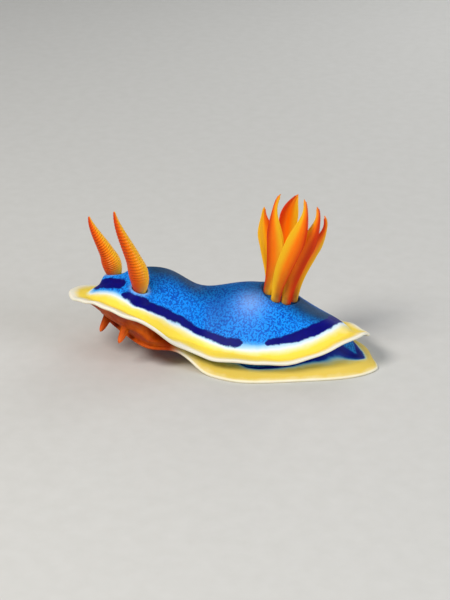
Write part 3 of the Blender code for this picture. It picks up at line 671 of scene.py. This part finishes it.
def moist_skin():
    """Moist sea slug skin. It gives the eye soft-edged bands, worm-like specks, a faint wet sheen, and
    painted shade and highlights on the back.
    """
    finish = bpy.data.materials.new("moist_slug_skin")
    finish.use_nodes = True
    tree = finish.node_tree
    shader = tree.nodes["Principled BSDF"]
    place = add_node(tree, "ShaderNodeTexCoord", out="Object")
    value = {name: add_node(tree, "ShaderNodeAttribute", out="Fac", attribute_name=name) for name in layers}
    patch = {}
    for name, size in PATCH_SIZES.items():
        inputs = {"Vector": place, "Scale": 1 / (size * MM), "Detail": 2.5, "Roughness": 0.55}
        patch[name] = add_node(tree, "ShaderNodeTexNoise", inputs, "Fac")

    # Specks of deep blue pigment crowd the azure back, thicker in some clouds than in others
    crowding = {"Value": patch["cloud"], "From Min": 0.35, "From Max": 0.65, "To Min": 0.65, "To Max": 0.95}
    crowding = add_node(tree, "ShaderNodeMapRange", crowding)
    speck = {"Value": patch["speck"], "From Min": 0.45, "From Max": 0.56}
    speck = add_node(tree, "ShaderNodeMapRange", speck, **EASED)
    speck = add_node(tree, "ShaderNodeMath", {0: speck, 1: crowding}, operation="MULTIPLY")
    azure = colour(AZURE)
    # After the deep blue specks come the painted shade and the painted highlights of the back
    for share, code in ((speck, SPECK_BLUE), *((value[name], code) for name, code in PAINTED_BACK_LIGHT_AND_SHADE.items())):
        azure = add_node(tree, "ShaderNodeMix", {"Factor": share, 6: azure, 7: colour(code)}, **MIXED)

    # Bands round the mantle: cream edge, yellow, white, pale blue, and a navy line in stretches
    wobble = {"Value": patch["blot"], "To Min": -0.075, "To Max": 0.075}
    wobble = add_node(tree, "ShaderNodeMapRange", wobble)
    band = add_node(tree, "ShaderNodeMath", {0: value["band"], 1: wobble}, operation="ADD")
    mantle = add_node(tree, "ShaderNodeValToRGB", {"Fac": band}, "Color", MANTLE_BANDS)
    inner = add_node(tree, "ShaderNodeMapRange", {"Value": band, "From Min": 0.8, "From Max": 1.0}, **EASED)
    mantle = add_node(tree, "ShaderNodeMix", {"Factor": inner, 6: mantle, 7: azure}, **MIXED)
    ragged = add_node(tree, "ShaderNodeMapRange", {"Value": patch["fleck"], "To Min": -0.3, "To Max": 0.3})
    navy = add_node(tree, "ShaderNodeMath", {0: value["navy"], 1: ragged}, operation="ADD")
    navy = add_node(tree, "ShaderNodeMapRange", {"Value": navy, "From Min": -0.14, "From Max": 0.16}, **EASED)
    ink = {"Factor": patch["fleck"], 6: colour("#00005A"), 7: colour("#000384")}
    ink = add_node(tree, "ShaderNodeMix", ink, **MIXED)
    mantle = add_node(tree, "ShaderNodeMix", {"Factor": navy, 6: mantle, 7: ink}, **MIXED)

    # The head is orange brown, and so is the skirt's lower face over it, which is pale blue further back
    headward = {"Value": value["station"], "From Min": 17.0, "From Max": 13.5}
    headward = add_node(tree, "ShaderNodeMapRange", headward, **EASED)
    blotch = {"Value": patch["blot"], "From Min": 0.35, "From Max": 0.7}
    blotch = add_node(tree, "ShaderNodeMapRange", blotch, **EASED)
    rust = {"Factor": blotch, 6: colour("#A03404"), 7: colour("#C85A08")}
    rust = add_node(tree, "ShaderNodeMix", rust, **MIXED)
    below = add_node(tree, "ShaderNodeMix", {"Factor": headward, 6: colour("#8FB9D6"), 7: rust}, **MIXED)
    edge = {"Value": value["from_rim"], "From Min": 0.9, "From Max": 0.2}
    edge = add_node(tree, "ShaderNodeMapRange", edge, **EASED)
    below = add_node(tree, "ShaderNodeMix", {"Factor": edge, 6: below, 7: colour("#E9E2C9")}, **MIXED)

    # Foot: white edge, yellow, a pale line, navy that broadens to the tail, and teal blue flanks
    foot_band = add_node(tree, "ShaderNodeMath", {0: value["foot_band"], 1: wobble}, operation="ADD")
    foot = add_node(tree, "ShaderNodeValToRGB", {"Fac": foot_band}, "Color", FOOT_BANDS)
    inner = {"Value": foot_band, "From Min": 0.94, "From Max": 1.0}
    inner = add_node(tree, "ShaderNodeMapRange", inner, **EASED)
    teal = {"Factor": speck, 6: colour("#1F7EC0"), 7: colour("#0B4388")}
    teal = add_node(tree, "ShaderNodeMix", teal, **MIXED)
    for share, shade in ((inner, teal), (headward, rust), (value["feeler"], colour("#EE6A22"))):
        foot = add_node(tree, "ShaderNodeMix", {"Factor": share, 6: foot, 7: shade}, **MIXED)

    skin = add_node(tree, "ShaderNodeMix", {"Factor": value["above"], 6: below, 7: mantle}, **MIXED)
    skin = add_node(tree, "ShaderNodeMix", {"Factor": value["foot"], 6: skin, 7: foot}, **MIXED)
    tree.links.new(skin, shader.inputs["Base Color"])

    # Granules under the wet film: slight bumps, and gloss that varies from patch to patch
    gloss = add_node(tree, "ShaderNodeMapRange", {"Value": patch["blot"], "To Min": 0.44, "To Max": 0.6})
    tree.links.new(gloss, shader.inputs["Roughness"])
    bumps = {"Height": patch["granule"], "Strength": 0.25, "Distance": 0.05 * MM}
    tree.links.new(add_node(tree, "ShaderNodeBump", bumps), shader.inputs["Normal"])
    shader.inputs["Subsurface Weight"].default_value = 0.12
    shader.inputs["Subsurface Radius"].default_value = (1.0, 0.6, 0.5)
    shader.inputs["Subsurface Scale"].default_value = 0.8 * MM
    shader.inputs["Specular IOR Level"].default_value = 0.16
    shader.inputs["Coat Weight"].default_value = 0.04
    shader.inputs["Coat Roughness"].default_value = 0.5
    shader.inputs["IOR"].default_value = 1.36
    return finish


skin = finished("slug_skin", bm, moist_skin())
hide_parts("mantle", "head", "body", "foot", "tail", "oral_tentacle_left", "oral_tentacle_right")


# Rhinophores: a pair of scent feelers, each a smooth stalk and a tapering club ringed with thin lamellae.
# They are muscular flesh that stands in a raised sheath of the mantle and can be drawn back into it.

RHINOPHORE_LENGTHS = {1: 13.1, -1: 9.6}
CLUB_RADIUS, STALK_RADIUS, STALK_SHARE = 1.4, 0.95, 0.2
LAMELLAE, LAMELLA_DEPTH, LAMELLA_SLOPE = 24, 0.13, 0.45
BARE_TIP_FROM = 0.95
# Its bent line: how far each control point lies along the sheath's axis, up, ahead and out, in lengths
RHINOPHORE_CURVE = ((0.20, 0, 0, 0.01), (0, 0.44, 0.06, 0.03), (0, 0.62, 0.36, 0.10), (0, 0.88, 0.40, 0.11))
SUNK_IN = 0.35


def bent_axis(base, controls, count):
    """Points along a smooth curve from base through control offsets, by De Casteljau's rule."""
    row = [np.array(base)] + [base + offset for offset in controls]
    row = [np.repeat(point[None], count + 1, axis=0) for point in row]
    share = np.linspace(0, 1, count + 1)[:, None]
    while len(row) > 1:
        row = [a + (b - a) * share for a, b in zip(row[:-1], row[1:])]
    return row[0]


def club_radius(share):
    """The rhinophore's radius along its length."""
    stalk = STALK_RADIUS + (CLUB_RADIUS - STALK_RADIUS) * ease(share / STALK_SHARE) * 0.9
    along = np.clip((share - STALK_SHARE) / (1 - STALK_SHARE), 0, 1)
    swell = 0.9 + 0.1 * np.sin(math.pi * np.minimum(along / 0.3, 1.0))
    club = CLUB_RADIUS * swell * (1 - along**1.35) ** 0.85 + 0.12
    return np.where(share < STALK_SHARE, stalk, club)


def rings_along(bm, line, radius_at, towards, ends=0.02):
    """A ball's vertices moved onto a tube round a line. radius_at(share, angle) gives its two half widths."""
    points = np.array([vertex.co for vertex in bm.verts], float)
    down = 1 - np.arccos(np.clip(points[:, 2], -1, 1)) / math.pi
    angle = np.arctan2(points[:, 1], points[:, 0])
    share = np.clip((down - ends) / (1 - 2 * ends), 0, 1)
    into_end = np.clip(np.minimum(down, 1 - down) / ends, 0, 1)
    rounding = np.sqrt(np.clip(1 - (1 - into_end) ** 2, 0, 1))
    count = len(line) - 1
    numbers = np.arange(count + 1) / count
    centre = np.stack([np.interp(share, numbers, line[:, axis]) for axis in range(3)], axis=1)
    way = np.gradient(line, axis=0)
    way = np.stack([np.interp(share, numbers, way[:, axis]) for axis in range(3)], axis=1)
    way /= np.linalg.norm(way, axis=1)[:, None]
    first = towards - way * (way @ towards)[:, None]
    first /= np.linalg.norm(first, axis=1)[:, None]
    second = np.cross(way, first)
    across, through = radius_at(share, angle)
    moved = centre + first * (across * rounding)[:, None] + second * (through * rounding)[:, None]
    for vertex, point in zip(bm.verts, moved):
        vertex.co = point * MM
    return share, angle


def ringed_club(share, angle):
    """Lamellae slope down to the front, fade into a smooth seam before and behind, and end at a bare tip."""
    on_club = ease((share - STALK_SHARE) / 0.04) * (1 - ease((share - BARE_TIP_FROM) / 0.04))
    turns = (share - STALK_SHARE) / (1 - STALK_SHARE) * LAMELLAE + LAMELLA_SLOPE * np.sin(angle)
    ridge = np.abs(2 * (turns - np.floor(turns)) - 1) ** 1.6
    seam = ease((np.abs(np.cos(angle)) - 0.08) / 0.25)
    radius = club_radius(share)
    radius = radius - LAMELLA_DEPTH * np.minimum(1, radius / 0.8) * on_club * ridge * (0.35 + 0.65 * seam)
    return radius * np.cos(angle), radius * np.sin(angle)


def feeler_flesh(name, along, *painted_sides):
    """Orange flesh under a thin wet film. It gives the eye a brown root, a golden painted highlight down one
    side and a reddish painted shade down the other.

    Each painted side colour goes by the side: where it starts and is full, how strong it is, and its colour.
    """
    finish = bpy.data.materials.new(name)
    finish.use_nodes = True
    tree = finish.node_tree
    shader = tree.nodes["Principled BSDF"]
    place = add_node(tree, "ShaderNodeTexCoord", out="Object")
    root_to_tip = add_node(tree, "ShaderNodeAttribute", out="Fac", attribute_name="share")
    sidewise = add_node(tree, "ShaderNodeAttribute", out="Fac", attribute_name="golden")
    patch = {}
    for size_name, size in (("grain", 0.22), ("blot", 1.2)):
        inputs = {"Vector": place, "Scale": 1 / (size * MM), "Detail": 2.5}
        patch[size_name] = add_node(tree, "ShaderNodeTexNoise", inputs, "Fac")

    flesh = add_node(tree, "ShaderNodeValToRGB", {"Fac": root_to_tip}, "Color", along)
    # Paler blots at random, then the golden painted highlight and the reddish painted shade across the side
    paler_blots = (patch["blot"], 0.5, 0.75, 0.2, "#FF9A1E")
    for source, start, full, strength, code in (paler_blots, *((sidewise, *tint) for tint in painted_sides)):
        limits = {"Value": source, "From Min": start, "From Max": full, "To Max": strength}
        share = add_node(tree, "ShaderNodeMapRange", limits, **EASED)
        flesh = add_node(tree, "ShaderNodeMix", {"Factor": share, 6: flesh, 7: colour(code)}, **MIXED)
    tree.links.new(flesh, shader.inputs["Base Color"])

    gloss = add_node(tree, "ShaderNodeMapRange", {"Value": patch["blot"], "To Min": 0.34, "To Max": 0.5})
    tree.links.new(gloss, shader.inputs["Roughness"])
    bumps = {"Height": patch["grain"], "Strength": 0.2, "Distance": 0.03 * MM}
    tree.links.new(add_node(tree, "ShaderNodeBump", bumps), shader.inputs["Normal"])
    shader.inputs["Subsurface Weight"].default_value = 0.15
    shader.inputs["Subsurface Radius"].default_value = (1.0, 0.45, 0.2)
    shader.inputs["Subsurface Scale"].default_value = 0.6 * MM
    shader.inputs["Specular IOR Level"].default_value = 0.2
    shader.inputs["Coat Weight"].default_value = 0.08
    shader.inputs["Coat Roughness"].default_value = 0.2
    shader.inputs["IOR"].default_value = 1.38
    return finish


def with_values(piece, **values):
    """Per-vertex values kept on a piece for its material."""
    for name, numbers in values.items():
        layer = piece.data.attributes.new(name, "FLOAT", "POINT")
        layer.data.foreach_set("value", numbers.astype(np.float32))


FEELER_SHADES = (
    (0.00, "#D6AE84"),
    (0.07, "#C08A48"),
    (0.20, "#DC841C"),
    (0.45, "#FF9008"),
    (0.80, "#FF7400"),
    (1.00, "#EC5A14"),
)
# The last two rows: a golden painted highlight on one side, a reddish painted shade on the other
rhinophore_finish = feeler_flesh(
    "orange_rhinophore_flesh",
    FEELER_SHADES,
    (0.35, 0.75, 0.92, "#FFBC22"),
    (0.45, 0.0, 0.85, "#C42C00"),
)
for sign, hand in ((1, "left"), (-1, "right")):
    floor, axis = rhinophore_root(sign)
    ways = (axis, np.array([0.0, 0.0, 1.0]), forward(RHINOPHORE_STATION), leftward(RHINOPHORE_STATION) * sign)
    length = RHINOPHORE_LENGTHS[sign]
    controls = [sum(way * share for way, share in zip(ways, row)) * length for row in RHINOPHORE_CURVE]
    line = bent_axis(floor - axis * SUNK_IN, controls, 60)
    bm = bmesh.new()
    bmesh.ops.create_uvsphere(bm, u_segments=40, v_segments=24 + 10 * LAMELLAE, radius=1.0)
    share, angle = rings_along(bm, line, ringed_club, ways[-1])
    bmesh.ops.recalc_face_normals(bm, faces=bm.faces)
    club = finished(f"rhinophore_{hand}_club", bm, rhinophore_finish)
    # Which side of the club takes the painted highlight and which the painted shade
    with_values(club, share=share, golden=0.5 + 0.5 * sign * np.sin(angle))
    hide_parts(f"rhinophore_{hand}")


# Gills: a ring of seven feather-like plumes on the back, each a flattened blade with leaflets on both edges.
# They are thin-walled flesh, filled from within, that rises from a pocket the animal can shut over them.

GILL_RING_RADIUS = 1.95
# Each plume: the angle of its root round the ring, from ahead to the left, the angle its broad side faces,
# and how far its curve's belly, neck and tip stand behind the ring's middle and to the left, and its height
PLUMES = (
    (36, 80, (1.7, 2.4), (-2.2, 2.1), (0.2, 1.2), 15.9),
    (86, 90, (1.6, 4.7), (5.8, 4.1), (4.3, 3.3), 16.3),
    (133, 104, (2.0, 2.9), (7.6, 3.2), (5.9, 2.2), 15.0),
    (180, 138, (2.1, 0.8), (8.3, 0.9), (6.4, -0.2), 12.8),
    (-129, -129, (3.2, -3.2), (4.4, -3.0), (4.6, -2.4), 10.2),
    (-76, -80, (-0.3, -4.0), (-0.7, -3.7), (1.6, -3.0), 14.6),
    (-22, -58, (-1.6, -1.7), (-3.8, -1.8), (-3.1, -1.6), 12.6),
)
BELLY_SHARE, NECK_SHARE = 0.48, 0.76
# The share of each plume's length at its shoulder, which of its edges takes the golden painted highlight, the
# other taking a reddish painted shade, and how golden all of it is by painted highlight
SHOULDERS = (0.5, 0.54, 0.52, 0.5, 0.5, 0.66, 0.55)
PAINTED_HIGHLIGHT_EDGES = (1, -1, -1, 1, 1, -1, 1)
PAINTED_HIGHLIGHTS = (0.05, 0.10, -0.12, -0.06, -0.05, 0.0, 0.15)
PLUME_STEPS = 60
PLUME_HALF_WIDTH = 1.4
BLADE_SHARE = 0.95
RIB_HALF_DEPTH, ROOT_HALF_DEPTH, BLADE_HALF_DEPTH = 0.24, 0.5, 0.09
LEAFLET_PAIRS, LEAFLET_HALF_HEIGHT, LEAFLET_HALF_DEPTH = 56, 0.26, 0.1
LEAFLET_ROOT, LEAFLET_SLANT = 0.2, 0.8
# Half a plume's greatest width, as a share of half the way to its nearest neighbour: plumes overlap a little
ROOM_SHARE = 1.5


def plume_axis(index):
    """Points along one gill plume, and its directions there: along, across, and out of its broad side."""
    degrees, facing_degrees, belly, neck, tip, above = PLUMES[index]
    ahead, leftwards = forward(GILL_STATION), leftward(GILL_STATION)
    angle, facing = math.radians(degrees), math.radians(facing_degrees)
    base, up = gill_floor(GILL_RING_RADIUS, angle)
    base = base - up * SOCKET_DEPTH
    middle = gill_floor(0.0, 0.0)[0]
    rise = np.array([0.0, 0.0, above])
    controls = [up * above * 0.12 + rise * 0.10]
    for (behind, left), height in ((belly, BELLY_SHARE), (neck, NECK_SHARE), (tip, 1.0)):
        controls.append(middle - base + leftwards * left - ahead * behind + rise * height)
    line = bent_axis(base, controls, PLUME_STEPS)
    broad = ahead * math.cos(facing) + leftwards * math.sin(facing)
    along = np.gradient(line, axis=0)
    along /= np.linalg.norm(along, axis=1)[:, None]
    across = np.cross(along, broad)
    across /= np.linalg.norm(across, axis=1)[:, None]
    return line, along, across, np.cross(across, along)


PLUME_LINES = [plume_axis(index)[0] for index in range(len(PLUMES))]


def flame(share, shoulder):
    """Half a plume's width: it swells from the root, narrows past its shoulder and ends in a point."""
    narrowed = 1 - 0.74 * ease((share - shoulder) / 0.4)
    return PLUME_HALF_WIDTH * (0.55 + 0.45 * ease(share / 0.5)) * narrowed * np.sqrt(1 - share**12)


def add_leaflet(bm, root, tip, thin, half_height):
    """A curved vane of a few dozen faces from root to tip."""
    way = tip - root
    thin = unit(thin - way * (thin @ way) / (way @ way))
    wide = unit(np.cross(way, thin))
    for vertex in bmesh.ops.create_uvsphere(bm, u_segments=6, v_segments=5, radius=1.0)["verts"]:
        x, y, z = vertex.co
        share = (z + 1) / 2
        flat = wide * x * half_height * (1.15 - 0.3 * share) + thin * y * LEAFLET_HALF_DEPTH
        vertex.co = (root + way * share + flat - thin * 0.15 * share * share) * MM


GILL_SHADES = (
    (0.00, "#B9884A"),
    (0.08, "#A86A1C"),
    (0.20, "#DC7408"),
    (0.40, "#FF7A00"),
    (0.80, "#FF7200"),
    (1.00, "#FB8A22"),
)
# The last two rows: a golden painted highlight on one edge, a reddish painted shade on the other
gill_finish = feeler_flesh(
    "orange_gill_flesh",
    GILL_SHADES,
    (0.48, 0.95, 0.95, "#FFC01C"),
    (0.5, 0.05, 0.9, "#D62A00"),
)


def feathered_plume(line, along, across, broad, width):
    """A flattened blade on a rib, with a row of leaflets along each of its edges. width is half its width."""
    shares = np.linspace(0, 1, PLUME_STEPS + 1)

    def blade_radius(share, angle):
        rib = (RIB_HALF_DEPTH - BLADE_HALF_DEPTH) * bump(np.cos(angle), 0.35) * (1 - 0.6 * share)
        root = (ROOT_HALF_DEPTH - BLADE_HALF_DEPTH) * (1 - ease(share / 0.25))
        half = BLADE_HALF_DEPTH + np.maximum(rib, root)
        return np.interp(share, shares, width) * BLADE_SHARE * np.cos(angle), half * np.sin(angle)

    bm = bmesh.new()
    bmesh.ops.create_uvsphere(bm, u_segments=24, v_segments=70, radius=1.0)
    rings_along(bm, line, blade_radius, np.cross(unit(line[-1] - line[0]), broad[PLUME_STEPS // 2]))
    for at in np.linspace(0.04, 0.96, LEAFLET_PAIRS):
        here, ahead, sideways, flat = (
            np.array([np.interp(at, shares, way[:, axis]) for axis in range(3)])
            for way in (line, along, across, broad)
        )
        half = np.interp(at, shares, width)
        half_height = LEAFLET_HALF_HEIGHT * (0.45 + 0.55 * half / PLUME_HALF_WIDTH)
        for hand in (1, -1):
            start = here + sideways * hand * half * LEAFLET_ROOT
            stop = here + sideways * hand * half + ahead * half * LEAFLET_SLANT
            add_leaflet(bm, start, stop, flat, half_height)
    bmesh.ops.recalc_face_normals(bm, faces=bm.faces)
    return bm


for index, (shoulder, golden_edge, painted_highlight) in enumerate(zip(SHOULDERS, PAINTED_HIGHLIGHT_EDGES, PAINTED_HIGHLIGHTS)):
    line, along, across, broad = plume_axis(index)
    others = np.concatenate([other for number, other in enumerate(PLUME_LINES) if number != index])
    room = np.linalg.norm(line[:, None] - others[None], axis=2).min(axis=1) / 2
    shares = np.linspace(0, 1, PLUME_STEPS + 1)
    width = np.minimum(flame(shares, shoulder), room * ROOM_SHARE)
    bm = feathered_plume(line, along, across, broad, width)
    points = np.array([vertex.co for vertex in bm.verts], float) / MM
    near = np.linalg.norm(points[:, None] - line[None], axis=2).argmin(axis=1)
    # Painted highlight towards the golden edge, painted shade towards the reddish edge, and extra painted
    # highlight over the whole plume
    sidewise = np.sum((points - line[near]) * across[near], axis=1) / np.maximum(width[near], 0.3)
    golden = 0.5 + 0.5 * golden_edge * np.clip(sidewise, -1, 1) + painted_highlight
    plume = finished(f"gill_plume_{index + 1}_feather", bm, gill_finish)
    with_values(plume, share=shares[near], golden=golden)
    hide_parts(f"gill_plume_{index + 1}")


# Stand: a plain pale board under the animal, soft studio lamps and the camera. None of them is part of it.
# The camera looks from the animal's left and a little from above.

FLOOR_SIZE = 4.0
IMAGE_WIDTH, IMAGE_HEIGHT, SENSOR_HEIGHT = 450, 600, 36
CAMERA_AZIMUTH, CAMERA_ELEVATION = 105.0, 23.2
CAMERA_LENS = 100.0
PIXELS_PER_MM = 6.68
ORIGIN_PIXEL = (287.2, 353.4)
SLUG_MIDDLE = Vector((0.0, 0.0, 0.006))
# Each lamp: metres from the slug towards the camera, to the camera's right and up, then size, watts and tint
LAMPS = {
    "key_lamp": (0.22, -0.22, 0.22, 0.17, 1.35, "#FFFAF2"),
    "fill_lamp": (0.25, 0.30, 0.06, 0.2, 0.7, "#F2F7FF"),
    "rim_lamp": (-0.25, 0.12, 0.25, 0.2, 0.2, "#FFFFFF"),
}


def floor_paint():
    """Matt pale board. It gives the eye a faint grain, so that it reads as a surface."""
    finish = bpy.data.materials.new("pale_matt_board")
    finish.use_nodes = True
    tree = finish.node_tree
    shader = tree.nodes["Principled BSDF"]
    place = add_node(tree, "ShaderNodeTexCoord", out="Object")
    grain = add_node(tree, "ShaderNodeTexNoise", {"Vector": place, "Scale": 400.0, "Detail": 3.0}, "Fac")
    paint = {"Factor": grain, 6: colour("#C9C9C6"), 7: colour("#D2D2D0")}
    tree.links.new(add_node(tree, "ShaderNodeMix", paint, 2, data_type="RGBA"), shader.inputs["Base Color"])
    shader.inputs["Roughness"].default_value = 0.9
    return finish


bm = bmesh.new()
bmesh.ops.create_grid(bm, x_segments=1, y_segments=1, size=FLOOR_SIZE / 2)
mesh = bpy.data.meshes.new("floor")
bm.to_mesh(mesh)
bm.free()
mesh.materials.append(floor_paint())
floor = bpy.data.objects.new("floor", mesh)
bpy.context.scene.collection.objects.link(floor)


def soft_lamp(name, place, size, watts, tint):
    """A round studio lamp that faces the slug."""
    lamp = bpy.data.lights.new(name, "AREA")
    lamp.shape = "DISK"
    lamp.size = size
    lamp.energy = watts
    lamp.color = colour(tint)[:3]
    stand = bpy.data.objects.new(name, lamp)
    stand.location = place
    stand.rotation_mode = "QUATERNION"
    stand.rotation_quaternion = (SLUG_MIDDLE - place).to_track_quat("-Z", "Y")
    bpy.context.scene.collection.objects.link(stand)


azimuth, elevation = math.radians(CAMERA_AZIMUTH), math.radians(CAMERA_ELEVATION)
camera_back = Vector(
    (math.sin(azimuth) * math.cos(elevation), -math.cos(azimuth) * math.cos(elevation), math.sin(elevation))
)
camera_right = Vector((math.cos(azimuth), math.sin(azimuth), 0.0))
camera_up = camera_back.cross(camera_right)

for name, (nearer, rightward, above, size, watts, tint) in LAMPS.items():
    away = camera_back * nearer + camera_right * rightward + Vector((0, 0, above))
    soft_lamp(name, SLUG_MIDDLE + away, size, watts, tint)

world = bpy.data.worlds.new("studio")
bpy.context.scene.world = world
world.use_nodes = True
world.node_tree.nodes["Background"].inputs["Color"].default_value = colour("#F4F6F8")
world.node_tree.nodes["Background"].inputs["Strength"].default_value = 0.28

distance = IMAGE_HEIGHT / (PIXELS_PER_MM / MM) * CAMERA_LENS / SENSOR_HEIGHT
aim = camera_right * ((IMAGE_WIDTH / 2 - ORIGIN_PIXEL[0]) / PIXELS_PER_MM * MM)
aim += camera_up * ((ORIGIN_PIXEL[1] - IMAGE_HEIGHT / 2) / PIXELS_PER_MM * MM)
lens = bpy.data.cameras.new("camera")
lens.lens = CAMERA_LENS
lens.clip_start, lens.clip_end = 0.01, 10.0
camera = bpy.data.objects.new("camera", lens)
camera.matrix_world = Matrix.Translation(aim + camera_back * distance) @ Matrix(
    [(*row, 0.0) for row in zip(camera_right, camera_up, camera_back)] + [(0.0, 0.0, 0.0, 1.0)]
)
bpy.context.scene.collection.objects.link(camera)
bpy.context.scene.camera = camera
bpy.context.scene.view_settings.view_transform = "Standard"
